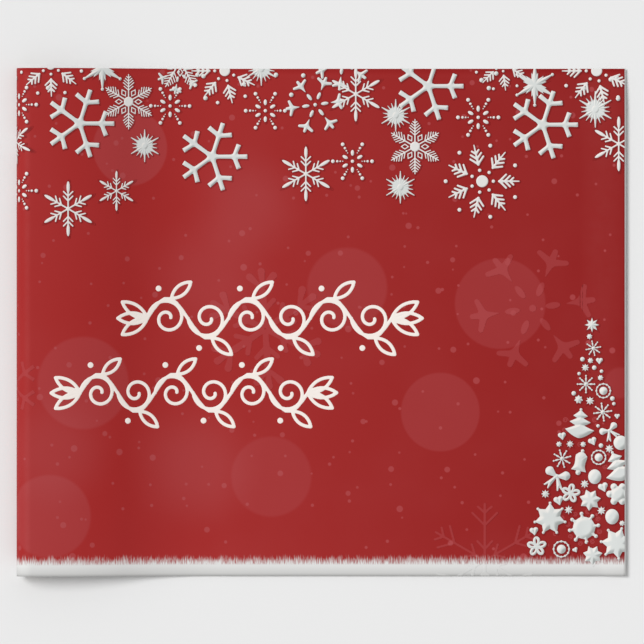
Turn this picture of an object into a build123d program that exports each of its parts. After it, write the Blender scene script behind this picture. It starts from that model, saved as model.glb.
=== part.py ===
from build123d import *
import math
import os

# A roll of gift wrapping paper that lies on a flat surface, with its first panel drawn off.
# Frame: the origin is on the core's axis at mid-width, +Y runs along the core, +X is the way
# the paper is drawn off, and +Z is up. All sizes are in millimetres.

# Driving dimensions
OVERALL_LENGTH = 914.4  # from the roll's left side to the free cut end, in plan
ROLL_WIDTH = 762.0  # paper and core alike, along the core's axis
CORE_BORE = 31.75  # inner diameter of the cardboard core
INNER_PLY = 0.5
MIDDLE_PLY = 0.6
OUTER_PLY = 0.4
PAPER = 0.15  # thickness of the paper
WOUND_LENGTH = 3657.6  # paper that is still wound on the core
WINDING_SLACK = 1.08  # wound thickness over the thickness of the paper in it
RAMP_RUN = 280.0  # plan length of the paper between the roll's top and the surface
WRAP_ANGLE = 150.0  # degrees of the outermost turn, back from the top of the roll

# Clearances
CORE_PLAY = 0.3  # radial, so that the core can be pushed along inside the wound paper
TURN_PLAY = 0.3  # radial, so that the wound paper can turn inside its outermost turn

# Radii, from the bore outwards
bore_radius = CORE_BORE / 2
inner_ply_radius = bore_radius + INNER_PLY
middle_ply_radius = inner_ply_radius + MIDDLE_PLY
core_radius = middle_ply_radius + OUTER_PLY
wound_inner_radius = core_radius + CORE_PLAY
wound_section = WOUND_LENGTH * PAPER * WINDING_SLACK
wound_radius = math.sqrt(wound_inner_radius**2 + wound_section / math.pi)
wrap_radius = wound_radius + TURN_PLAY + PAPER / 2  # at the middle of the paper

# The roll lies on the surface, and so does the flat stretch of the sheet
surface_z = -wound_radius
free_end_x = OVERALL_LENGTH - wrap_radius - PAPER / 2
sheet_middle_z = surface_z + PAPER / 2

# The ramp is two equal arcs: over the top of the roll, then flattening out on the surface
ramp_drop = wrap_radius - sheet_middle_z
ramp_turn = math.degrees(2 * math.atan(ramp_drop / RAMP_RUN))
ramp_radius = RAMP_RUN / (2 * math.sin(math.radians(ramp_turn)))


def across_width(profile):
    """Extrude a profile in the XZ plane over the whole width of the roll."""
    return extrude(profile, amount=ROLL_WIDTH / 2, both=True)


def tube(outer_radius, inner_radius):
    """A tube round the core's axis."""
    return across_width(Plane.XZ * (Circle(outer_radius) - Circle(inner_radius)))


def bent_paper(centre_x, centre_z, radius, start, sweep):
    """Profile of a stretch of paper bent to one radius, in the XZ plane. Angles in degrees from +X."""
    centre = (centre_x, centre_z)
    outside = CenterArc(centre, radius + PAPER / 2, start, sweep)
    inside = CenterArc(centre, radius - PAPER / 2, start, sweep)
    first_end = Line(outside @ 0, inside @ 0)
    last_end = Line(outside @ 1, inside @ 1)
    return Plane.XZ * make_face([outside, last_end, inside, first_end])


def roll_wrap():
    """Outermost turn: from the top of the roll round its left side, ending above the surface."""
    return across_width(bent_paper(0, 0, wrap_radius, 90, WRAP_ANGLE))


def sheet_ramp():
    """Paper between the top of the roll and the surface."""
    over = bent_paper(0, wrap_radius - ramp_radius, ramp_radius, 90, -ramp_turn)
    under = bent_paper(RAMP_RUN, sheet_middle_z + ramp_radius, ramp_radius, 270 - ramp_turn, ramp_turn)
    return across_width(over) + across_width(under)


def printed_sheet():
    """Flat stretch that lies on the surface, up to the free cut end."""
    length = free_end_x - RAMP_RUN
    middle = (RAMP_RUN + length / 2, 0, sheet_middle_z)
    return Pos(*middle) * Box(length, ROLL_WIDTH, PAPER)


nodes = {
    "printed_sheet": printed_sheet(),
    "sheet_ramp": sheet_ramp(),
    "roll_wrap": roll_wrap(),
    "wound_paper": tube(wound_radius, wound_inner_radius),
    "core_outer_ply": tube(core_radius, middle_ply_radius),
    "core_middle_ply": tube(middle_ply_radius, inner_ply_radius),
    "core_inner_ply": tube(inner_ply_radius, bore_radius),
}

os.makedirs("parts", exist_ok=True)
for name, solid in nodes.items():
    solid.label = name
    export_step(solid, f"parts/{name}.step")

print(f"wound radius {wound_radius:.3f} mm, wrap outside {wrap_radius + PAPER / 2:.3f} mm")
print(f"ramp turn {ramp_turn:.2f} deg at radius {ramp_radius:.1f} mm, hinge at z {surface_z + PAPER:.3f}")
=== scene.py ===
import math
import random

import bpy
import numpy as np
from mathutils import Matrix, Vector


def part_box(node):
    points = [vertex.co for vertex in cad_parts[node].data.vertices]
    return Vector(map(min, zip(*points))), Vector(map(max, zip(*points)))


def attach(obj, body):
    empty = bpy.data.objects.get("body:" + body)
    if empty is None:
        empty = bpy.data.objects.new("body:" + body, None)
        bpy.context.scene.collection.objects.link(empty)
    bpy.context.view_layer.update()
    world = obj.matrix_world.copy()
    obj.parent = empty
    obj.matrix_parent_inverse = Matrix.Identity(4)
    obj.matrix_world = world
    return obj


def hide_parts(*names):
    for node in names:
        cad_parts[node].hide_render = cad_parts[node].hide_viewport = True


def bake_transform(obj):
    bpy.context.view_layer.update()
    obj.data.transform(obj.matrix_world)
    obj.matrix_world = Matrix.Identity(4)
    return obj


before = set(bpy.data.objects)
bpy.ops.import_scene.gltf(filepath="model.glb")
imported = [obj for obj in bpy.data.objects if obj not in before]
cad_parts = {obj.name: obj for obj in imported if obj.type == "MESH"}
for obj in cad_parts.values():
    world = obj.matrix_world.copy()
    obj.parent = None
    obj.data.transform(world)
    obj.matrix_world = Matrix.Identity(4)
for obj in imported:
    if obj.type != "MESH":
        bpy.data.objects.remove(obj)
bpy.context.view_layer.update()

MM = 0.001

# ---------------------------------------------------------------------------
# The web of paper. u runs along the paper and equals x on the flat stretch, v is y across it,
# and lift is the height over the printed side.
# ---------------------------------------------------------------------------
sheet_low, sheet_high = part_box("printed_sheet")
wrap_low, wrap_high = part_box("roll_wrap")
wound_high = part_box("wound_paper")[1]
core_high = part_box("core_outer_ply")[1]

PAPER = sheet_high[2] - sheet_low[2]
WIDTH = sheet_high[1] - sheet_low[1]
FOOT = sheet_low[0]  # where the ramp meets the flat stretch
FREE_END = sheet_high[0]
SURFACE = sheet_low[2]
WOUND_RADIUS = wound_high[2]
WRAP_RADIUS = wrap_high[2]  # printed side of the outermost turn, at the top of the roll
CORE_RADIUS = core_high[2]
LEFT = wrap_low[0]
CENTRE_X = (LEFT + FREE_END) / 2

DROP = WRAP_RADIUS - sheet_high[2]
RAMP_TURN = 2 * math.atan(DROP / FOOT)
RAMP_RADIUS = FOOT / (2 * math.sin(RAMP_TURN))
RAMP_LENGTH = 2 * RAMP_RADIUS * RAMP_TURN
ROLL_TOP = FOOT - RAMP_LENGTH  # u at the top of the roll
WRAP_SWEEP = math.radians(150)
WRAP_END_RADIUS = WOUND_RADIUS + PAPER * 1.1  # the turn closes down on the wound paper
WEB_START = ROLL_TOP - WRAP_RADIUS * WRAP_SWEEP

END_CURL = 7.5 * MM  # how far the free end stands off the surface
NEAR_CURL = 3.6 * MM  # and the near edge
CURL_WIDTH = 70 * MM
FAR_CORNER_CALM = 0.45  # the share of the end's curl that is missing at the far corner
WAVE = 0.25 * MM


def smooth(low, high, value):
    """0 below low, 1 above high, and an S-curve between them."""
    t = min(max((value - low) / (high - low), 0.0), 1.0)
    return t * t * (3 - 2 * t)


def stand_off(u, v):
    """Height of the flat stretch over the surface: relaxed edges and faint waves."""
    flat = smooth(FOOT - 60 * MM, FOOT + 60 * MM, u)
    end = smooth(FREE_END - CURL_WIDTH, FREE_END, u)
    near = smooth(CURL_WIDTH - WIDTH / 2, -WIDTH / 2, v)
    corner = 1 - FAR_CORNER_CALM * smooth(WIDTH / 2 - 60 * MM, WIDTH / 2, v)
    waves = 1 + math.sin(u * 19 + 1.3 * math.sin(v * 8)) * math.cos(v * 11 + 0.6)
    near_curl = NEAR_CURL * near * smooth(FOOT - 200 * MM, FOOT + 60 * MM, u)
    return max(END_CURL * end * corner, near_curl) + WAVE * waves * flat


def web_point(u, v, lift=0.0):
    """A point over the printed side of the paper."""
    if u >= FOOT:
        return (u, v, SURFACE + PAPER + lift + stand_off(u, v))
    if u >= ROLL_TOP:
        climbed = FOOT - u
        low_arc = RAMP_RADIUS * RAMP_TURN
        if climbed <= low_arc:
            turn = climbed / RAMP_RADIUS
            r = RAMP_RADIUS - lift
            x, z = FOOT - r * math.sin(turn), SURFACE + PAPER + RAMP_RADIUS - r * math.cos(turn)
        else:
            turn = (RAMP_LENGTH - climbed) / RAMP_RADIUS
            r = RAMP_RADIUS + lift
            x, z = r * math.sin(turn), WRAP_RADIUS - RAMP_RADIUS + r * math.cos(turn)
        return (x, v, z + stand_off(u, v))
    turn = (ROLL_TOP - u) / WRAP_RADIUS
    share = min(turn / WRAP_SWEEP, 1.0)
    r = WRAP_RADIUS + (WRAP_END_RADIUS - WRAP_RADIUS) * share + lift
    return (-r * math.sin(turn), v, r * math.cos(turn))


def along(x):
    """The u that lies over a place x in plan."""
    if x >= FOOT:
        return x
    if x <= 0:
        return ROLL_TOP - WRAP_RADIUS * math.asin(min(-x / WRAP_RADIUS, 1.0))
    low, high = ROLL_TOP, FOOT
    for _ in range(30):
        middle = (low + high) / 2
        if web_point(middle, 0)[0] < x:
            low = middle
        else:
            high = middle
    return low


def place(x_mm, y_mm):
    """Web coordinates of a place given in plan, in millimetres from the middle of the whole object."""
    return along(CENTRE_X + x_mm * MM), y_mm * MM


def mesh_object(name, points, faces, materials, face_material=None, smooth_faces=None):
    mesh = bpy.data.meshes.new(name)
    mesh.from_pydata(points, [], faces)
    for material in materials:
        mesh.materials.append(material)
    if face_material is not None:
        mesh.polygons.foreach_set("material_index", face_material)
    if smooth_faces is not None:
        mesh.polygons.foreach_set("use_smooth", smooth_faces)
    mesh.update()
    piece = bpy.data.objects.new(name, mesh)
    bpy.context.scene.collection.objects.link(piece)
    return piece


def print_attribute(piece, values):
    """Store each point's web coordinates, which the printed pattern is drawn from."""
    layer = piece.data.attributes.new("web", "FLOAT_VECTOR", "POINT")
    layer.data.foreach_set("vector", [n for value in values for n in value])


# ---------------------------------------------------------------------------
# Materials
# ---------------------------------------------------------------------------
class Nodes:
    """A material's node tree, with short calls for the nodes used here."""

    def __init__(self, name):
        self.material = bpy.data.materials.new(name)
        self.material.use_nodes = True
        self.tree = self.material.node_tree
        self.shader = self.tree.nodes["Principled BSDF"]

    def add(self, kind, **settings):
        node = self.tree.nodes.new("ShaderNode" + kind)
        for key, value in settings.items():
            setattr(node, key, value)
        return node

    def join(self, value, socket):
        if isinstance(value, bpy.types.NodeSocket):
            self.tree.links.new(value, socket)
        else:
            socket.default_value = value

    def maths(self, operation, *values, clamp=False):
        node = self.add("Math", operation=operation, use_clamp=clamp)
        for value, socket in zip(values, node.inputs):
            self.join(value, socket)
        return node.outputs[0]

    def vector(self, operation, *values):
        node = self.add("VectorMath", operation=operation)
        for value, socket in zip(values, node.inputs):
            self.join(value, socket)
        return node.outputs["Value" if operation in ("LENGTH", "DISTANCE") else "Vector"]

    def ramp(self, value, low, high, start=0.0, end=1.0, smooth_step=True):
        kind = "SMOOTHSTEP" if smooth_step else "LINEAR"
        node = self.add("MapRange", interpolation_type=kind)
        for number, socket in zip((value, low, high, start, end), node.inputs):
            self.join(number, socket)
        return node.outputs[0]

    def mix(self, share, first, second):
        node = self.add("Mix", data_type="RGBA")
        self.join(share, node.inputs[0])
        self.join(first, node.inputs[6])
        self.join(second, node.inputs[7])
        return node.outputs[2]

    def noise(self, where, scale, detail=2.0, dimensions="3D"):
        node = self.add("TexNoise", noise_dimensions=dimensions)
        self.join(where, node.inputs["Vector"])
        self.join(scale, node.inputs["Scale"])
        self.join(detail, node.inputs["Detail"])
        return node.outputs["Fac"]

    def bump(self, height, strength, distance):
        node = self.add("Bump")
        self.join(strength, node.inputs["Strength"])
        self.join(distance, node.inputs["Distance"])
        self.join(height, node.inputs["Height"])
        self.join(node.outputs["Normal"], self.shader.inputs["Normal"])

    def finish(self, colour, roughness, specular):
        self.join(colour, self.shader.inputs["Base Color"])
        self.join(roughness, self.shader.inputs["Roughness"])
        self.join(specular, self.shader.inputs["Specular IOR Level"])
        return self.material


# Print colours, linear, and the white of the painted highlight along the cut end
RED_LEFT = (0.352, 0.0190, 0.0180, 1)
RED_RIGHT = (0.262, 0.0085, 0.0080, 1)
PALE_RED = (0.400, 0.062, 0.066, 1)
DEEP_RED = (0.105, 0.0050, 0.0065, 1)
SNOW_TOP = (0.70, 0.70, 0.69, 1)
SNOW_BOTTOM = (0.53, 0.53, 0.52, 1)
# White of the painted highlight along the cut end: the paper's white edge, widened and lit
EDGE_HIGHLIGHT_WHITE = (0.80, 0.80, 0.79, 1)

# Soft discs in the red, in plan: x, y, radius and edge softness in millimetres, then strength
DISCS = [
    (-287, 262, 57, 2, 0.42),
    (39, 52, 60, 3, 0.30),
    (269, 28, 68, 2, 0.28),
    (179, -135, 59, 2, 0.30),
    (-75, -232, 60, 3, 0.27),
    (-356, -91, 69, 3, 0.36),
    (-407, -291, 62, 3, 0.36),
    (-108, 175, 56, 44, 0.34),
    (-190, -217, 66, 50, 0.40),
    (-400, -193, 60, 45, 0.34),
    (-167, 70, 68, 50, 0.30),
    (449, -91, 23, 3, 0.24),
]
# Flecks: cells per metre, the share that has one, radius and edge softness in millimetres, strength
FLECKS = [
    (11.5, 0.80, 5.0, 0.7, 0.66),
    (19.0, 0.72, 2.5, 0.6, 0.74),
    (13.0, 0.50, 2.1, 0.6, 0.62),
]
SNOW_TOP_V = -WIDTH / 2 + 15 * MM
BLADE_HEIGHT = 21 * MM
# Width of the painted edge highlight on the printed side; the motifs stop short of it
LIT_EDGE_WIDTH = 1.2 * MM


def paper_noise(n, where):
    """Fibres and coating: a fine tooth for the paper's bump."""
    fine = n.noise(where, 900.0, 3.0)
    coarse = n.noise(where, 60.0, 2.0)
    return n.maths("ADD", fine, n.maths("MULTIPLY", coarse, 0.6))


def printed_material():
    n = Nodes("gift_wrap_print")
    web = n.add("Attribute", attribute_name="web").outputs["Vector"]
    split = n.add("SeparateXYZ")
    n.join(web, split.inputs[0])
    u, v = split.outputs[0], split.outputs[1]
    # The red darkens from left of the middle towards the free end
    colour = n.mix(n.ramp(u, CENTRE_X - 200 * MM, FREE_END, smooth_step=False), RED_LEFT, RED_RIGHT)
    mottle = n.noise(web, 7.0, 2.0)
    colour = n.mix(n.ramp(mottle, 0.35, 0.75, 0.0, 0.07), colour, PALE_RED)

    glow = 0.0
    for x, y, radius, edge, strength in DISCS:
        disc_u, disc_v = place(x, y)
        distance = n.vector("DISTANCE", web, (disc_u, disc_v, 0.0))
        inside = n.ramp(distance, (radius - edge) * MM, (radius + edge) * MM, strength, 0.0)
        glow = n.maths("ADD", glow, inside)

    # Round flecks of falling snow: one in each cell of a loose pattern, some left out
    for scale, chance, largest, edge, strength in FLECKS:
        cells = n.add("TexVoronoi", voronoi_dimensions="2D", feature="F1")
        n.join(web, cells.inputs["Vector"])
        n.join(scale, cells.inputs["Scale"])
        pick = n.add("SeparateColor")
        n.join(cells.outputs["Color"], pick.inputs[0])
        kept = n.maths("LESS_THAN", pick.outputs[0], chance)
        radius = n.ramp(pick.outputs[1], 0.0, 1.0, largest * 0.75 * scale * MM, largest * scale * MM)
        inside = n.maths("SUBTRACT", radius, cells.outputs["Distance"])
        fleck = n.ramp(inside, -edge * scale * MM, edge * scale * MM, 0.0, strength)
        glow = n.maths("ADD", glow, n.maths("MULTIPLY", fleck, kept))

    # Motifs printed flat in the red carry a tint: above 0 is paler,
    # below 0 is the shade beside the white print
    tint = n.add("Attribute", attribute_name="tint").outputs["Fac"]
    glow = n.maths("ADD", glow, n.maths("MAXIMUM", tint, 0.0))
    colour = n.mix(n.maths("MINIMUM", glow, 0.9), colour, PALE_RED)
    colour = n.mix(n.maths("MAXIMUM", n.maths("MULTIPLY", tint, -1.0), 0.0), colour, DEEP_RED)

    # The snow bank along the near edge, with blades of frost standing up from it
    height = n.ramp(v, SNOW_TOP_V, SNOW_TOP_V + BLADE_HEIGHT, 0.0, 1.0, smooth_step=False)
    squeeze = n.vector("MULTIPLY", web, (1.0, 0.14, 1.0))
    blades = n.noise(squeeze, 640.0, 2.0)
    tufts = n.noise(squeeze, 130.0, 1.0)
    growth = n.maths("ADD", n.maths("MULTIPLY", blades, 0.8), n.maths("MULTIPLY", tufts, 0.3))
    bare = n.maths("SUBTRACT", growth, n.maths("MULTIPLY", height, 0.60))
    thinned = n.ramp(height, 0.45, 1.0, 1.0, 0.0, smooth_step=False)
    frost = n.maths("MULTIPLY", n.ramp(bare, 0.10, 0.58), thinned)
    bank = n.ramp(v, SNOW_TOP_V + 1 * MM, SNOW_TOP_V + 6 * MM, 1.0, 0.0)
    frost = n.maths("MAXIMUM", frost, bank)
    shade = n.ramp(v, -WIDTH / 2, SNOW_TOP_V, smooth_step=False)
    snow = n.mix(shade, SNOW_BOTTOM, SNOW_TOP)
    colour = n.mix(frost, colour, snow)

    # A white band along the free end: the paper's white cut edge, widened into a painted highlight along
    # the edge
    edge = n.maths("GREATER_THAN", u, FREE_END - LIT_EDGE_WIDTH)
    colour = n.mix(edge, colour, EDGE_HIGHLIGHT_WHITE)
    tooth = paper_noise(n, web)
    n.bump(tooth, 0.05, 0.0002)
    return n.finish(colour, n.ramp(tooth, 0.5, 1.1, 0.5, 0.62), 0.13)


def white_paper_material():
    n = Nodes("white_paper_back")
    where = n.add("TexCoord").outputs["Object"]
    tooth = paper_noise(n, where)
    colour = n.mix(n.ramp(tooth, 0.5, 1.1), (0.80, 0.79, 0.77, 1), (0.74, 0.73, 0.70, 1))
    n.bump(tooth, 0.08, 0.0002)
    return n.finish(colour, 0.75, 0.3)


def kraft_material(name, seam_pitch, lean, tone):
    """Brown board wound on a slant: fibres, flecks and the slanting seam of the ply."""
    n = Nodes(name)
    where = n.add("TexCoord").outputs["Object"]
    split = n.add("SeparateXYZ")
    n.join(where, split.inputs[0])
    turn = n.maths("ARCTAN2", split.outputs[2], split.outputs[0])
    climb = n.maths("MULTIPLY", turn, lean * seam_pitch / (2 * math.pi))
    run = n.maths("DIVIDE", n.maths("ADD", split.outputs[1], climb), seam_pitch)
    seam = n.maths("ABSOLUTE", n.maths("SUBTRACT", n.maths("FRACT", run), 0.5))
    line = n.ramp(seam, 0.485, 0.5)
    fibre = n.noise(n.vector("MULTIPLY", where, (1.0, 0.2, 1.0)), 900.0, 3.0)
    fleck = n.noise(where, 240.0, 2.0)
    light = tuple(min(c * 1.25, 1.0) for c in tone) + (1,)
    dark = tuple(c * 0.72 for c in tone) + (1,)
    colour = n.mix(n.ramp(fibre, 0.3, 0.7), dark, light)
    colour = n.mix(n.ramp(fleck, 0.62, 0.72, 0.0, 0.5), colour, (0.16, 0.09, 0.045, 1))
    colour = n.mix(n.maths("MULTIPLY", line, 0.7), colour, (0.12, 0.07, 0.035, 1))
    n.bump(n.maths("SUBTRACT", fibre, n.maths("MULTIPLY", line, 2.0)), 0.25, 0.0003)
    return n.finish(colour, 0.85, 0.25)


def relief_material(name, light, middle, shade, roughness):
    """White print drawn as if it stood up: light on the upper left, shade on the lower right."""
    n = Nodes(name)
    lean = n.add("Attribute", attribute_name="lean").outputs["Fac"]
    where = n.add("TexCoord").outputs["Object"]
    colour = n.mix(n.ramp(lean, 0.1, 1.3), middle, light)
    colour = n.mix(n.ramp(lean, -0.1, -1.4), colour, shade)
    n.bump(n.noise(where, 1400.0, 2.0), 0.08, 0.0002)
    return n.finish(colour, roughness, 0.25)


def floor_material():
    n = Nodes("studio_floor")
    return n.finish((0.80, 0.80, 0.80, 1), 0.9, 0.0)


PRINT = printed_material()
WHITE_PAPER = white_paper_material()
PUFFED = relief_material(
    "shaded_white_print", (0.80, 0.77, 0.73, 1), (0.64, 0.665, 0.65, 1), (0.34, 0.36, 0.35, 1), 0.5
)
FINE_WHITE = relief_material(
    "fine_white_print", (0.87, 0.78, 0.74, 1), (0.72, 0.71, 0.69, 1), (0.46, 0.46, 0.45, 1), 0.5
)
INK = relief_material(
    "off_white_ink", (0.87, 0.80, 0.75, 1), (0.87, 0.80, 0.75, 1), (0.82, 0.75, 0.70, 1), 0.5
)


# ---------------------------------------------------------------------------
# The paper itself: one thin closed sheet from the wrap's end to the free end
# ---------------------------------------------------------------------------
def spaced(start, end, step):
    count = max(1, math.ceil((end - start) / step))
    return [start + (end - start) * i / count for i in range(count + 1)]


BEND_RUN = 80 * MM  # the paper bends over this length when the sheet lifts


def web_rows():
    rows = spaced(WEB_START, ROLL_TOP, WRAP_RADIUS * math.radians(4))
    rows += spaced(ROLL_TOP, FOOT, 5 * MM)[1:]
    rows += spaced(FOOT, FOOT + BEND_RUN, 1.6 * MM)[1:]
    rows += spaced(FOOT + BEND_RUN, FREE_END - CURL_WIDTH, 9 * MM)[1:]
    rows += spaced(FREE_END - CURL_WIDTH, FREE_END, 4 * MM)[1:]
    return rows


def web_columns():
    near = spaced(-WIDTH / 2, CURL_WIDTH - WIDTH / 2, 5 * MM)
    return near + spaced(near[-1], WIDTH / 2, 14 * MM)[1:]


def paper_web():
    rows, columns = web_rows(), web_columns()
    across = len(columns)
    layer = len(rows) * across
    points, web = [], []
    for lift in (0.0, -PAPER):
        for u in rows:
            for v in columns:
                points.append(web_point(u, v, lift))
                web.append((u, v, 0.0))
    faces, slots = [], []
    for i in range(len(rows) - 1):
        for j in range(across - 1):
            a = i * across + j
            quad = (a, a + across, a + across + 1, a + 1)
            faces.append(quad)
            faces.append(tuple(layer + k for k in reversed(quad)))
            slots += [0, 1]
    rim = [i * across for i in range(len(rows))]
    rim += [(len(rows) - 1) * across + j for j in range(1, across)]
    rim += [i * across + across - 1 for i in reversed(range(len(rows) - 1))]
    rim += list(reversed(range(1, across - 1)))
    for a, b in zip(rim, rim[1:] + rim[:1]):
        faces.append((b, a, layer + a, layer + b))
        slots.append(1)
    smooth_faces = [len(face) == 4 and i < len(faces) - len(rim) for i, face in enumerate(faces)]
    piece = mesh_object("paper_web", points, faces, [PRINT, WHITE_PAPER], slots, smooth_faces)
    print_attribute(piece, web)
    return piece


def on_web(piece):
    """The piece lies on the paper: its transform is applied to its points."""
    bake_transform(piece)


web_piece = paper_web()
on_web(web_piece)
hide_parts("printed_sheet", "sheet_ramp", "roll_wrap")


# ---------------------------------------------------------------------------
# The wound turns: one spiral of paper, printed outside
# ---------------------------------------------------------------------------
TURN_GAP = 0.012 * MM  # air between the turns
STEPS_PER_TURN = 72
PRINTED_TURNS = 1.2  # further in, nobody sees the printed side
END_DRIFT = (-0.35, 0.15)  # how far a turn's edge stands out at the roll's ends, in millimetres


def wound_roll():
    inner = CORE_RADIUS + 0.35 * MM
    outer = WOUND_RADIUS - 0.01 * MM
    turns = (outer - PAPER - inner) / (PAPER + TURN_GAP)
    steps = int(turns * STEPS_PER_TURN)
    shuffle = random.Random(7)
    ends = [shuffle.uniform(*END_DRIFT) * MM for _ in range(int(turns) + 3)]
    points, web = [], []
    u = WEB_START
    for i in range(steps + 1):
        turn = i / STEPS_PER_TURN
        angle = math.pi / 2 + WRAP_SWEEP + turn * 2 * math.pi
        radius = outer - turn * (PAPER + TURN_GAP)
        whole = int(turn)
        drift = ends[whole] + (ends[whole + 1] - ends[whole]) * (turn - whole)
        for r in (radius, radius - PAPER):
            for v in (-WIDTH / 2 + drift, WIDTH / 2 + drift):
                low = min(max(v, -WIDTH / 2), WIDTH / 2)
                points.append((r * math.cos(angle), low, r * math.sin(angle)))
                web.append((u, low, 0.0))
        u -= radius * 2 * math.pi / STEPS_PER_TURN
    faces, slots = [], []
    for i in range(steps):
        a, b = i * 4, i * 4 + 4
        faces.append((a, b, b + 1, a + 1))
        faces.append((a + 2, a + 3, b + 3, b + 2))
        faces.append((a, a + 2, b + 2, b))
        faces.append((a + 1, b + 1, b + 3, a + 3))
        slots += [0 if i < STEPS_PER_TURN * PRINTED_TURNS else 1, 1, 1, 1]
    faces.append((0, 1, 3, 2))
    last = steps * 4
    faces.append((last, last + 2, last + 3, last + 1))
    slots += [1, 1]
    smooth_faces = [i < steps * 4 and i % 4 < 2 for i in range(len(faces))]
    piece = mesh_object("wound_turns", points, faces, [PRINT, WHITE_PAPER], slots, smooth_faces)
    print_attribute(piece, web)
    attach(piece, "roll")
    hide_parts("wound_paper")
    return piece


wound_roll()

KRAFT = {
    "core_outer_ply": ((0.43, 0.28, 0.16), 95 * MM, 1),
    "core_middle_ply": ((0.36, 0.23, 0.13), 95 * MM, 1),
    "core_inner_ply": ((0.40, 0.27, 0.16), 80 * MM, -1),
}
for node, (tone, pitch, lean) in KRAFT.items():
    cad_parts[node].material_slots[0].material = kraft_material(f"kraft_{node}", pitch, lean, tone)


# ---------------------------------------------------------------------------
# Motifs. Each is a formula for the distance to its outline, negative inside, on a grid of x and y
# where the motif's radius is 1.
# ---------------------------------------------------------------------------
def disc(x, y, cx, cy, r):
    return np.hypot(x - cx, y - cy) - r


def stroke(x, y, start, end, r, end_r=None):
    """A round-ended stroke, tapered where end_r is given."""
    dx, dy = end[0] - start[0], end[1] - start[1]
    t = np.clip(((x - start[0]) * dx + (y - start[1]) * dy) / (dx * dx + dy * dy), 0, 1)
    width = r + ((r if end_r is None else end_r) - r) * t
    return np.hypot(x - start[0] - t * dx, y - start[1] - t * dy) - width


def bar(x, y, start, end, r, end_r):
    """A square-ended stroke that widens from r to end_r."""
    length = math.dist(start, end)
    dx, dy = (end[0] - start[0]) / length, (end[1] - start[1]) / length
    run = (x - start[0]) * dx + (y - start[1]) * dy
    side = np.abs((y - start[1]) * dx - (x - start[0]) * dy)
    width = r + (end_r - r) * np.clip(run / length, 0, 1)
    return np.maximum(side - width, np.abs(run - length / 2) - length / 2)


def seed(x, y, cx, cy, length, width, angle=0.0):
    """An ellipse with its long half-axis at an angle."""
    c, s = math.cos(angle), math.sin(angle)
    along_it = ((x - cx) * c + (y - cy) * s) / length
    across_it = ((y - cy) * c - (x - cx) * s) / width
    return (np.hypot(along_it, across_it) - 1) * min(length, width)


def folded(x, y, arms, turn=0.0):
    """The grid folded into one arm: the distance along it and to either side of it."""
    sector = 2 * math.pi / arms
    angle = (np.arctan2(y, x) - turn + sector / 2) % sector - sector / 2
    r = np.hypot(x, y)
    return r * np.cos(angle), r * np.abs(np.sin(angle))


def join(parts):
    return np.minimum.reduce(list(parts))


def soft_join(first, second, blend):
    """Both shapes, with the inside corner between them filled by a fillet."""
    h = np.clip(0.5 + 0.5 * (second - first) / blend, 0, 1)
    return second + (first - second) * h - blend * h * (1 - h)


def chain(x, y, points, r):
    return join(stroke(x, y, a, b, r) for a, b in zip(points, points[1:]))


def star(x, y, points, inner, turn=0.0):
    a, b = folded(x, y, points, turn)
    sector = math.pi / points
    hollow = (inner * math.cos(sector), inner * math.sin(sector))
    length = math.dist((1, 0), hollow)
    nx, ny = hollow[1] / length, (1 - hollow[0]) / length
    return (a - 1) * nx + b * ny


def polar(r, degrees, origin=(0.0, 0.0)):
    angle = math.radians(degrees)
    return (origin[0] + r * math.cos(angle), origin[1] + r * math.sin(angle))


def branch_flake(x, y):
    a, b = folded(x, y, 5)
    arm = bar(a, b, (0, 0), (1, 0), 0.052, 0.064)
    twig = bar(a, b, (0.62, 0), polar(0.37, 68, (0.62, 0)), 0.052, 0.066)
    return soft_join(soft_join(arm, twig, 0.06), disc(x, y, 0, 0, 0.10), 0.12)


def fern_flake(x, y):
    a, b = folded(x, y, 6)
    spine = stroke(a, b, (0, 0), (1, 0), 0.027, 0.018)
    needles = ((0.42, 0.22), (0.53, 0.26), (0.64, 0.22), (0.75, 0.16), (0.86, 0.10))
    twigs = [stroke(a, b, (p, 0), polar(size, 50, (p, 0)), 0.019) for p, size in needles]
    c, d = folded(x, y, 6, math.pi / 6)
    diamond = np.abs((np.abs(c - 0.37) / 0.13 + d / 0.09 - 1) * 0.074) - 0.018
    hub = disc(x, y, 0, 0, 0.18)
    return join([spine, diamond, hub, *twigs])


def dotted_flake(x, y):
    a, b = folded(x, y, 6)
    c, d = folded(x, y, 6, math.pi / 6)
    beads = [disc(a, b, p, 0, r) for p, r in ((0.47, 0.028), (0.59, 0.042), (0.735, 0.060), (0.95, 0.088))]
    return join([seed(c, d, 0.41, 0, 0.14, 0.078), disc(x, y, 0, 0, 0.08), *beads])


def needle_flake(x, y):
    a, b = folded(x, y, 6)
    spine = stroke(a, b, (0, 0), (0.7, 0), 0.028)
    tip = seed(a, b, 0.785, 0, 0.22, 0.060)
    twigs = [stroke(a, b, (p, 0), polar(0.24, 45, (p, 0)), 0.030, 0.025) for p in (0.29, 0.46)]
    return join([spine, tip, disc(x, y, 0, 0, 0.075), *twigs])


def burst(x, y):
    rays = []
    spikes = ((0, 1.0, 0.10, 0.026), (1 / 3, 0.80, 0.085, 0.016), (-1 / 3, 0.78, 0.085, 0.016))
    for turn, reach, base, tip in spikes:
        a, b = folded(x, y, 6, turn * math.pi / 3)
        rays.append(stroke(a, b, (0.12, 0), (reach, 0), base, tip))
    a, b = folded(x, y, 18, math.pi / 18)
    rays.append(stroke(a, b, (0.12, 0), (0.56, 0), 0.08, 0.008))
    return join([disc(x, y, 0, 0, 0.27), *rays])


def tipped_flake(x, y):
    a, b = folded(x, y, 6)
    stem = stroke(a, b, (0.53, 0), (0.77, 0), 0.008, 0.07)
    middle = stroke(a, b, (0.77, 0), (0.95, 0), 0.062, 0.047)
    side = stroke(a, b, (0.77, 0), (0.85, 0.225), 0.062, 0.044)
    foot = soft_join(stem, join([middle, side]), 0.05)
    return join([foot, seed(a, b, 0.32, 0, 0.125, 0.055), disc(x, y, 0, 0, 0.06)])


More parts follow.
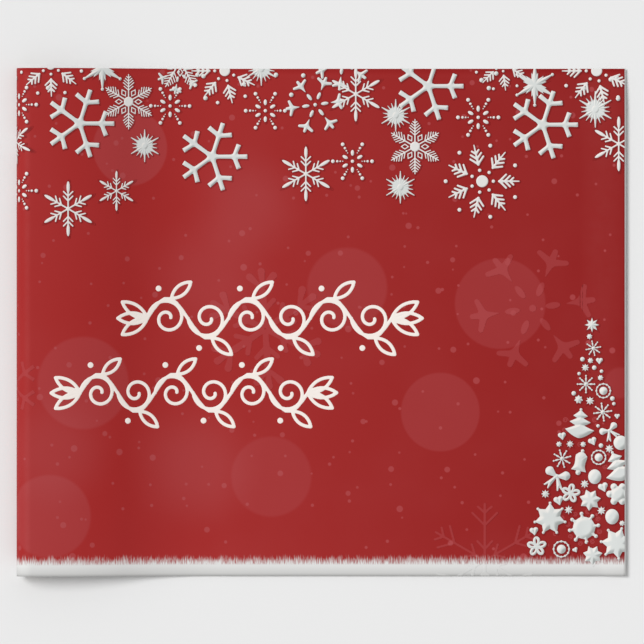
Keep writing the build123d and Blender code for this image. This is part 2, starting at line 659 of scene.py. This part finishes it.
def fan_flake(x, y):
    a, b = folded(x, y, 6)
    stem = stroke(a, b, (0.06, 0), (0.60, 0), 0.05, 0.065)
    twig = stroke(a, b, (0.30, 0), (0.46, 0.17), 0.045)
    fan = [stroke(a, b, (0.66, 0), polar(0.28, turn, (0.66, 0)), 0.03, 0.065) for turn in (0, 44)]
    return join([stem, twig, *fan])


def twig_flake(x, y):
    a, b = folded(x, y, 6)
    lines = [((0, 0), (1, 0))]
    lines += [((0.20, 0), (0.34, 0.13)), ((0.62, 0), (0.84, 0.22)), ((0.84, 0), (0.95, 0.12))]
    return join(stroke(a, b, start, end, 0.024) for start, end in lines)


def ball_flake(x, y):
    a, b = folded(x, y, 7)
    c, d = folded(x, y, 7, math.pi / 7)
    spine = stroke(a, b, (0.46, 0), (0.99, 0), 0.034, 0.016)
    needles = ((0.47, 0.25, 46), (0.61, 0.20, 46), (0.75, 0.13, 46))
    twigs = [stroke(a, b, (p, 0), polar(size, lean, (p, 0)), 0.031, 0.025) for p, size, lean in needles]
    beads = [disc(a, b, 0.30, 0, 0.045), disc(c, d, 0.98, 0, 0.052)]
    return join([disc(x, y, 0, 0, 0.16), spine, *twigs, *beads])


def knob_star(x, y):
    a, b = folded(x, y, 6)
    arm = stroke(a, b, (0, 0), (0.9, 0), 0.16, 0.03)
    short = star(x / 0.58, y / 0.58, 12, 0.5, math.pi / 12) * 0.58
    return join([arm, short, disc(a, b, 0.93, 0, 0.07)])


def heart(x, y):
    lobe = disc(np.abs(x), y, 0.42, 0.30, 0.50)
    point = stroke(np.abs(x), y, (0.36, 0.20), (0, -0.80), 0.45, 0.10)
    return soft_join(lobe, point, 0.1)


def knob_flake(x, y):
    a, b = folded(x, y, 8)
    line = stroke(a, b, (0.1, 0), (0.84, 0), 0.045)
    swelling = seed(a, b, 0.55, 0, 0.22, 0.095)
    return join([line, swelling, disc(a, b, 0.90, 0, 0.095), disc(x, y, 0, 0, 0.20)])


def rosette(x, y):
    a, b = folded(x, y, 12)
    ring = np.abs(np.hypot(x, y) - 0.80) - 0.055
    return join([disc(x, y, 0, 0, 0.46), disc(a, b, 0.80, 0, 0.115), ring])


def fir(x, y):
    tiers = []
    sizes = ((0.98, 0.34, 0.48, 0.20), (0.56, -0.16, 0.70, 0.30), (0.10, -0.92, 0.96, 0.55))
    for top, base, reach, lift in sizes:
        side = np.abs(x) - reach * np.clip((top - y) / (top - base - lift), 0, 1) ** 1.35
        floor = base + lift * np.clip(np.abs(x) / reach, 0, 1) ** 1.6 - y
        tiers.append(np.maximum(side * 0.72, floor))
    return join([*tiers, disc(x, y, 0, 0.95, 0.09)])


def bow(x, y):
    side = np.abs(x)
    loop = stroke(side, y, (0.06, 0.02), (0.62, 0.26), 0.07, 0.34)
    tail = bar(side, y, (0.04, 0), (0.56, -0.95), 0.08, 0.24)
    notch = stroke(side, y, (0.58, -1.02), (0.45, -0.72), 0.17, 0.01)
    return soft_join(soft_join(loop, np.maximum(tail, -notch), 0.06), disc(x, y, 0, 0.02, 0.17), 0.08)


def bell(x, y):
    side = np.abs(x) - 0.36 - 0.34 * np.clip(-y - 0.1, 0, 1) ** 1.6 * 2
    body = np.maximum(side, np.abs(y) - 0.52)
    crown = soft_join(body, disc(x, y, 0, 0.42, 0.36), 0.15)
    return join([crown, disc(x, y, 0, -0.64, 0.17), disc(x, y, 0, 0.86, 0.12)])


def curl(x, y):
    line = [polar(0.92 - 0.70 * i / 20, 30 * i) for i in range(21)]
    return chain(x, y, line, 0.10)


def ball(x, y):
    return disc(x, y, 0, 0, 0.98)


def oval(x, y):
    return seed(x, y, 0, 0, 0.88, 1.0)


def blossom(x, y):
    a, b = folded(x, y, 5)
    petal = seed(a, b, 0.56, 0, 0.42, 0.34)
    slot = seed(a, b, 0.50, 0, 0.22, 0.07)
    return np.maximum(join([petal, disc(x, y, 0, 0, 0.30)]), -slot)


def six_petals(x, y):
    a, b = folded(x, y, 6)
    return soft_join(disc(a, b, 0.70, 0, 0.28), disc(x, y, 0, 0, 0.62), 0.12)


def knob_cookie(x, y):
    a, b = folded(x, y, 8)
    arm = join([disc(a, b, 0.87, 0, 0.11), stroke(a, b, (0.6, 0), (0.85, 0), 0.09, 0.06)])
    return soft_join(arm, disc(x, y, 0, 0, 0.66), 0.08)


def star_cookie(x, y):
    a, b = folded(x, y, 7)
    return soft_join(star(x / 0.90, y / 0.90, 7, 0.66) * 0.90, disc(a, b, 0.90, 0, 0.08), 0.05)


def star_eight(x, y):
    return star(x, y, 8, 0.50)


def star_seven(x, y):
    return star(x, y, 7, 0.67)


# ---------------------------------------------------------------------------
# Raised print
# ---------------------------------------------------------------------------
SINK = 0.03 * MM  # how far the print reaches into the paper
TINT_STEP = 0.015 * MM  # height over the paper of the motifs that only tint the red
SHADE_STEP = 0.03 * MM
WHITE_STEP = 0.05 * MM
RELIEF = 0.35 * MM  # the white print stands up a little where the ink is thick
PAINTED_LIGHT = (-0.75, 0.66)  # toward the light of the painted shading, along u and v


def cut_cells(outline):
    """Grid cells cut along the line where outline is 0: polygons of corner and cut-edge keys."""
    inside = outline < 0
    busy = inside[:-1, :-1] | inside[1:, :-1] | inside[:-1, 1:] | inside[1:, 1:]
    for i, j in zip(*np.nonzero(busy)):
        i, j = int(i), int(j)
        corners = ((i, j), (i + 1, j), (i + 1, j + 1), (i, j + 1))
        polygon = []
        for a, b in zip(corners, corners[1:] + corners[:1]):
            if inside[a]:
                polygon.append((a, a))
            if inside[a] != inside[b]:
                polygon.append((min(a, b), max(a, b)))
        if len(polygon) > 2:
            yield polygon


def field_mesh(gu, gv, distance, rim, step, height):
    """A closed mesh over the places where distance is below 0, on a grid of web coordinates."""
    cut = np.maximum(np.abs(gv) - WIDTH / 2, gu - (FREE_END - LIT_EDGE_WIDTH))
    outline = np.maximum(distance, cut)
    dome = np.sin(np.clip(-distance / rim, 0, 1) * math.pi / 2)
    slope_u, slope_v = np.gradient(dome, gu[:, 0], gv[0])
    lean = -(slope_u * PAINTED_LIGHT[0] + slope_v * PAINTED_LIGHT[1]) * rim
    number, top, places, domes, leans, polygons = {}, [], [], [], [], []
    for polygon in cut_cells(outline):
        face = []
        for key in polygon:
            if key not in number:
                a, b = key
                share = 0.0
                if a != b:
                    share = min(max(float(outline[a] / (outline[a] - outline[b])), 0.02), 0.98)
                grids = (gu, gv, dome, lean)
                u, v, deep, tilt = (float(grid[a] + (grid[b] - grid[a]) * share) for grid in grids)
                number[key] = len(top)
                top.append(web_point(u, v, step + height * deep))
                places.append((u, v, 0.0))
                domes.append(deep)
                leans.append(tilt)
            face.append(number[key])
        polygons.append(face)
    n = len(top)
    bottom = [web_point(u, v, -SINK) for u, v, _ in places]
    used = {(p, q) for face in polygons for p, q in zip(face, face[1:] + face[:1])}
    walls = [(p, p + n, q + n, q) for p, q in used if (q, p) not in used]
    under = [[k + n for k in reversed(face)] for face in polygons]
    return top + bottom, polygons, under + sorted(walls), places * 2, domes * 2, leans * 2


def motif_grid(radius, cell):
    reach = radius * 1.08
    axis = np.linspace(-reach, reach, max(8, math.ceil(2 * reach / cell)) + 1)
    return np.meshgrid(axis, axis, indexing="ij")


def motif_distance(motif, gx, gy, radius, degrees):
    c, s = math.cos(math.radians(degrees)), math.sin(math.radians(degrees))
    return motif((gx * c + gy * s) / radius, (gy * c - gx * s) / radius) * radius


def print_piece(name, fields, material, tint):
    """One piece from meshes of field_mesh, with the attributes its material reads."""
    points, faces, smooth_faces, web, domes, leans = [], [], [], [], [], []
    for made in fields:
        base = len(points)
        points += made[0]
        for part, shade in ((made[1], True), (made[2], False)):
            faces += [[k + base for k in face] for face in part]
            smooth_faces += [shade] * len(part)
        web += made[3]
        domes += made[4]
        leans += made[5]
    piece = mesh_object(name, points, faces, [material], None, smooth_faces)
    print_attribute(piece, web)
    for attribute, values in (("lean", leans), ("tint", [tint * deep for deep in domes])):
        layer = piece.data.attributes.new(attribute, "FLOAT", "POINT")
        layer.data.foreach_set("value", values)
    on_web(piece)
    return piece


def white_print(name, layout, rim, cell, material):
    fields = []
    for motif, x, y, radius, degrees in layout:
        u, v = place(x, y)
        gx, gy = motif_grid(radius * MM, cell)
        distance = motif_distance(motif, gx, gy, radius * MM, degrees)
        fields.append(field_mesh(gx + u, gy + v, distance, rim, WHITE_STEP, RELIEF))
    return print_piece(name, fields, material, 0.0)


def tint_print(name, layout, cell, step, grow, rim, tint):
    """Motifs joined on one grid and printed flat, as a tint of the red."""
    along_web = np.arange(WEB_START + 30 * MM, FREE_END, cell)
    across_web = np.arange(-WIDTH / 2, WIDTH / 2 + cell, cell)
    gu, gv = np.meshgrid(along_web, across_web, indexing="ij")
    distance = np.ones_like(gu)
    for motif, x, y, radius, degrees in layout:
        u, v = place(x, y)
        reach = radius * MM * 1.08 + grow
        near_u = slice(*np.searchsorted(gu[:, 0], (u - reach, u + reach)))
        near_v = slice(*np.searchsorted(gv[0], (v - reach, v + reach)))
        gx, gy = gu[near_u, near_v] - u, gv[near_u, near_v] - v
        if gx.size:
            found = motif_distance(motif, gx, gy, radius * MM, degrees) - grow
            distance[near_u, near_v] = np.minimum(distance[near_u, near_v], found)
    return print_piece(name, [field_mesh(gu, gv, distance, rim, step, 0.0)], PRINT, tint)


# Motif, x and y of its middle in plan, radius, and its turn in degrees
LARGE_FLAKES = [
    (branch_flake, -362, 298, 53, 0),
    (branch_flake, -164, 249, 53, 0),
    (branch_flake, 161, 355, 53, 0),
    (branch_flake, 333, 297, 53, 0),
    (tipped_flake, -9, 327, 45, 8),
]
FINE_FLAKES = [
    (fern_flake, -289, 331, 41, 90),
    (fern_flake, 141, 264, 41, 90),
    (needle_flake, -379, 170, 41, 90),
    (needle_flake, -307, 197, 30, 90),
    (needle_flake, -23, 223, 41, 90),
    (needle_flake, 52, 343, 41, 90),
    (needle_flake, 447, 268, 41, 90),
    (needle_flake, -457, 271, 34, 96),
    (ball_flake, 242, 212, 56, 0),
    (ball_flake, -145, 378, 50, 26),
    (ball_flake, 414, 378, 52, 26),
    (ball_flake, -405, 386, 48, 14),
    (ball_flake, 272, 390, 42, 20),
    (fern_flake, -212, 392, 44, 60),
]
DOTTED_FLAKES = [
    (dotted_flake, -227, 325, 31, 0),
    (dotted_flake, -84, 318, 31, 0),
    (dotted_flake, 47, 242, 31, 0),
    (dotted_flake, 236, 308, 32, 0),
    (dotted_flake, -453, 326, 31, 0),
    (dotted_flake, -453, 197, 31, 0),
]
BURSTS = [
    (burst, -265, 265, 24, 90),
    (burst, 112, 311, 24, 90),
    (burst, 119, 203, 24, 90),
    (burst, 412, 320, 27, 90),
    (burst, -90, 381, 25, 90),
    (knob_star, 321, 357, 33, 90),
    (knob_star, -328, 381, 34, 90),
    (tipped_flake, -214, 376, 34, 20),
    (tipped_flake, 32, 392, 44, 24),
]
BEAD_PLACES = (
    ((-457, 366), (-409, 351), (-221, 351), (-174, 337), (-116, 358), (-68, 372))
    + ((-27, 371), (-45, 342), (-186, 372), (-177, 370), (252, 352), (241, 364))
    + ((395, 351), (446, 336), (444, 368), (435, 365), (263, 374))
)
EDGE_BEADS = [(ball, x, y, 3.3, 0) for x, y in BEAD_PLACES]

# Faint flakes printed flat in paler red
PALE_FLAKES = [
    (tipped_flake, 318, 21, 96, 8),
    (fan_flake, -84, -10, 92, 34),
    (twig_flake, 246, -358, 85, 30),
    (branch_flake, -478, -95, 50, 36),
]

# The fir made of ornaments: the larger ones are placed, and small ones fill what is left
TREE_TOP = (407.0, -3.0)
TREE_FOOT_Y = -352.0
TREE_HALF_WIDTH = 97.0
TREE_ORNAMENTS = [
    (star_eight, 407, -4, 11, 90),
    (knob_flake, 409, -39, 12, 11),
    (heart, 418, -58, 5.5, 0),
    (star_eight, 397, -68, 6.5, 0),
    (knob_flake, 398, -93, 14, 0),
    (rosette, 424, -103, 13, 0),
    (star_seven, 387, -116, 6.8, 90),
    (star_eight, 404, -118, 7, 0),
    (knob_flake, 423, -135, 14.5, 8),
    (fir, 389, -153, 23, -4),
    (bow, 433, -163, 15, 28),
    (heart, 362, -171, 6.5, 10),
    (heart, 408, -179, 7, 25),
    (ball, 450, -181, 11, 0),
    (star_eight, 433, -190, 7, 0),
    (star_eight, 374, -183, 6, 0),
    (knob_flake, 362, -205, 14.5, 15),
    (bell, 389, -212, 22, -12),
    (rosette, 417, -203, 13, 15),
    (fir, 446, -217, 24, 22),
    (bow, 354, -232, 20, -18),
    (oval, 411, -232, 11, 0),
    (blossom, 375, -257, 15, 8),
    (heart, 424, -248, 8, 20),
    (star_eight, 396, -243, 7, 0),
    (six_petals, 446, -258, 18, 0),
    (star_seven, 404, -267, 16.5, 8),
    (star_eight, 337, -258, 7, 0),
    (heart, 357, -268, 8, 15),
    (star_cookie, 344, -295, 26, 90),
    (star_eight, 372, -282, 6.8, 0),
    (oval, 437, -292, 11.5, 0),
    (knob_cookie, 395, -309, 25, 10),
    (heart, 320, -314, 7, 10),
    (star_eight, 421, -283, 7, 0),
    (star_cookie, 444, -332, 26, 20),
    (blossom, 324, -337, 15.5, 20),
    (rosette, 361, -341, 14.5, 0),
    (star_seven, 408, -350, 15, 12),
]
FILLERS = ((star_seven, 4.6), (heart, 4.4), (ball, 3.4), (ball, 2.6))
FILLER_TRIES = 260
FILLER_GAP = 2.0
FILLER_RIGHT = 460  # fillers keep to the left of this
COOKIE = (395, -309)
TREE_CURLS = [(curl, *polar(24.5, 32 + 45 * k, COOKIE), 4.2, 70 * k) for k in range(8)]
LOOSE_CURLS = (
    ((367, -147), (411, -147), (366, -162), (389, -184))
    + ((427, -217), (391, -255), (338, -335), (352, -318))
)
TREE_CURLS += [(curl, x, y, 4.6, 50 * x) for x, y in LOOSE_CURLS]


def tree_fillers():
    """Small ornaments in what the larger ones leave free, the largest that fits first."""
    shuffle = random.Random(24)
    taken = [(x, y, radius * 0.93) for _, x, y, radius, _ in TREE_ORNAMENTS]
    added = []
    for motif, radius in FILLERS:
        for _ in range(FILLER_TRIES):
            y = shuffle.uniform(TREE_FOOT_Y, TREE_TOP[1])
            half = TREE_HALF_WIDTH * (TREE_TOP[1] - y) / (TREE_TOP[1] - TREE_FOOT_Y)
            x = TREE_TOP[0] + shuffle.uniform(-half, half)
            turn = shuffle.uniform(0, 40)
            room = radius + FILLER_GAP
            if x < FILLER_RIGHT and all(math.hypot(x - a, y - b) > room + c for a, b, c in taken):
                taken.append((x, y, radius))
                added.append((motif, x, y, radius, turn))
    return added


TREE_BEADS = tree_fillers()

tint_print("pale_snowflakes", PALE_FLAKES, 1.3 * MM, TINT_STEP, 0.0, 1.0 * MM, 0.40)
tint_print("tree_curls", TREE_CURLS, 0.5 * MM, TINT_STEP, 0.2 * MM, 0.4 * MM, 0.85)
SHADED = LARGE_FLAKES + FINE_FLAKES + DOTTED_FLAKES + BURSTS + EDGE_BEADS + TREE_ORNAMENTS + TREE_BEADS
SHADE_SHIFT = 0.8
SHADES = [
    (motif, x + SHADE_SHIFT, y - SHADE_SHIFT, radius, degrees)
    for motif, x, y, radius, degrees in SHADED
]
tint_print("print_shades", SHADES, 1.4 * MM, SHADE_STEP, 1.7 * MM, 2.4 * MM, -0.60)
white_print("branch_snowflakes", LARGE_FLAKES, 3.3 * MM, 0.95 * MM, PUFFED)
white_print("needle_snowflakes", FINE_FLAKES, 1.8 * MM, 0.80 * MM, FINE_WHITE)
white_print("dotted_snowflakes", DOTTED_FLAKES, 2.4 * MM, 0.65 * MM, FINE_WHITE)
white_print("frost_bursts", BURSTS, 5.0 * MM, 0.6 * MM, PUFFED)
white_print("snow_beads", EDGE_BEADS, 3.0 * MM, 0.7 * MM, PUFFED)
white_print("tree_ornaments", TREE_ORNAMENTS, 8.0 * MM, 0.75 * MM, PUFFED)
white_print("tree_beads", TREE_BEADS, 3.2 * MM, 0.62 * MM, PUFFED)


# ---------------------------------------------------------------------------
# A leafy scroll in flat off-white ink, in two rows across the middle left
# ---------------------------------------------------------------------------
INK_HALF = 2.5  # half the width of a pen stroke, in millimetres


def spiral(cx, cy, radius, start, sweep, shrink, count):
    """Points of a curl, from degrees start through sweep, down to shrink times its radius."""
    volute = []
    for i in range(count + 1):
        t = i / count
        volute.append(polar(radius * (1 + (shrink - 1) * t), start + sweep * t, (cx, cy)))
    return volute


def wave_stem(x0, x1, y, rise, periods):
    count = int(periods * 14)
    stem = []
    for i in range(count + 1):
        t = i / count
        stem.append((x0 + (x1 - x0) * t, y + rise * math.sin(2 * math.pi * periods * t)))
    return stem


def leaf(x, y, length, width, degrees):
    """Outline of a pointed leaf that grows from x, y."""
    c, s = math.cos(math.radians(degrees)), math.sin(math.radians(degrees))
    outline = []
    for side in (1, -1):
        run = [i / 9 for i in range(10)]
        for t in run if side > 0 else reversed(run):
            a, b = length * t, side * width * math.sin(math.pi * t) ** 0.8
            outline.append((x + a * c - b * s, y + a * s + b * c))
    return outline


def scroll_row(x0, x1, y, rise, half_waves):
    """A running scroll: a wavy stem, and in each wave a volute, a leaf and a berry."""
    lines = [wave_stem(x0, x1, y, rise, half_waves / 2)]
    dots = []
    step = (x1 - x0) / half_waves
    for k in range(half_waves):
        side = 1 if k % 2 == 0 else -1
        crest = x0 + step * (k + 0.5)
        lines.append(spiral(crest, y, step * 0.49, 180, -side * 530, 0.17, 40))
        lines.append(leaf(crest + step * 0.1, y + side * rise, step * 0.62, step * 0.12, side * 40))
        dots.append((crest - step * 0.22, y + side * (rise + step * 0.24)))
    for end, turn in ((x0, 180), (x1, 0)):
        for spread in (-32, 0, 32):
            lines.append(leaf(end, y, step * 0.75, step * 0.13, turn + spread))
    return lines, dots


def scroll(x, y):
    """The whole scroll's distance, on a grid in millimetres from the middle of the object."""
    upper, upper_dots = scroll_row(-262, 106, 6, 30, 6)
    lower, lower_dots = scroll_row(-366, -20, -106, 28, 6)
    berries = [disc(x, y, a, b, 4.4) for a, b in upper_dots + lower_dots]
    return join([chain(x, y, line, INK_HALF) for line in upper + lower] + berries)


def ink_scroll():
    middle = (-130.0, -45.0)
    radius = 300.0

    def motif(x, y):
        return scroll(x * radius + middle[0], y * radius + middle[1]) / radius

    layout = [(motif, *middle, radius, 0)]
    return white_print("leaf_scroll", layout, 1.6 * MM, 1.05 * MM, INK)


ink_scroll()


# ---------------------------------------------------------------------------
# Studio
# ---------------------------------------------------------------------------
def studio_floor():
    half = 6.0
    z = SURFACE - 0.2 * MM  # clear of the paper's underside
    corners = [(-half, -half, z), (half, -half, z), (half, half, z), (-half, half, z)]
    floor = mesh_object("studio_floor", corners, [(0, 1, 2, 3)], [floor_material()])


def studio_light():
    world = bpy.data.worlds.new("soft_room")
    world.use_nodes = True
    world.node_tree.nodes["Background"].inputs["Color"].default_value = (1, 1, 1, 1)
    world.node_tree.nodes["Background"].inputs["Strength"].default_value = 0.47
    bpy.context.scene.world = world
    key = bpy.data.lights.new("key", "SUN")
    key.energy = 2.15
    key.angle = math.radians(28)
    lamp = bpy.data.objects.new("key", key)
    lamp.rotation_euler = Vector((0.52, -0.22, -0.825)).to_track_quat("-Z", "Y").to_euler()
    bpy.context.scene.collection.objects.link(lamp)


def camera():
    lens = bpy.data.cameras.new("camera")
    distance = 12.0
    view_width = (FREE_END - LEFT) * 1.0587  # the sheet fills all but a narrow margin of the picture
    lens.sensor_width = 36.0
    lens.lens = lens.sensor_width * distance / view_width
    lens.clip_end = 40.0
    eye = bpy.data.objects.new("camera", lens)
    eye.location = (CENTRE_X + 1.2 * MM, 0.4 * MM, SURFACE + distance)
    bpy.context.scene.collection.objects.link(eye)
    bpy.context.scene.camera = eye


studio_floor()
studio_light()
camera()
bpy.context.scene.view_settings.view_transform = "Standard"
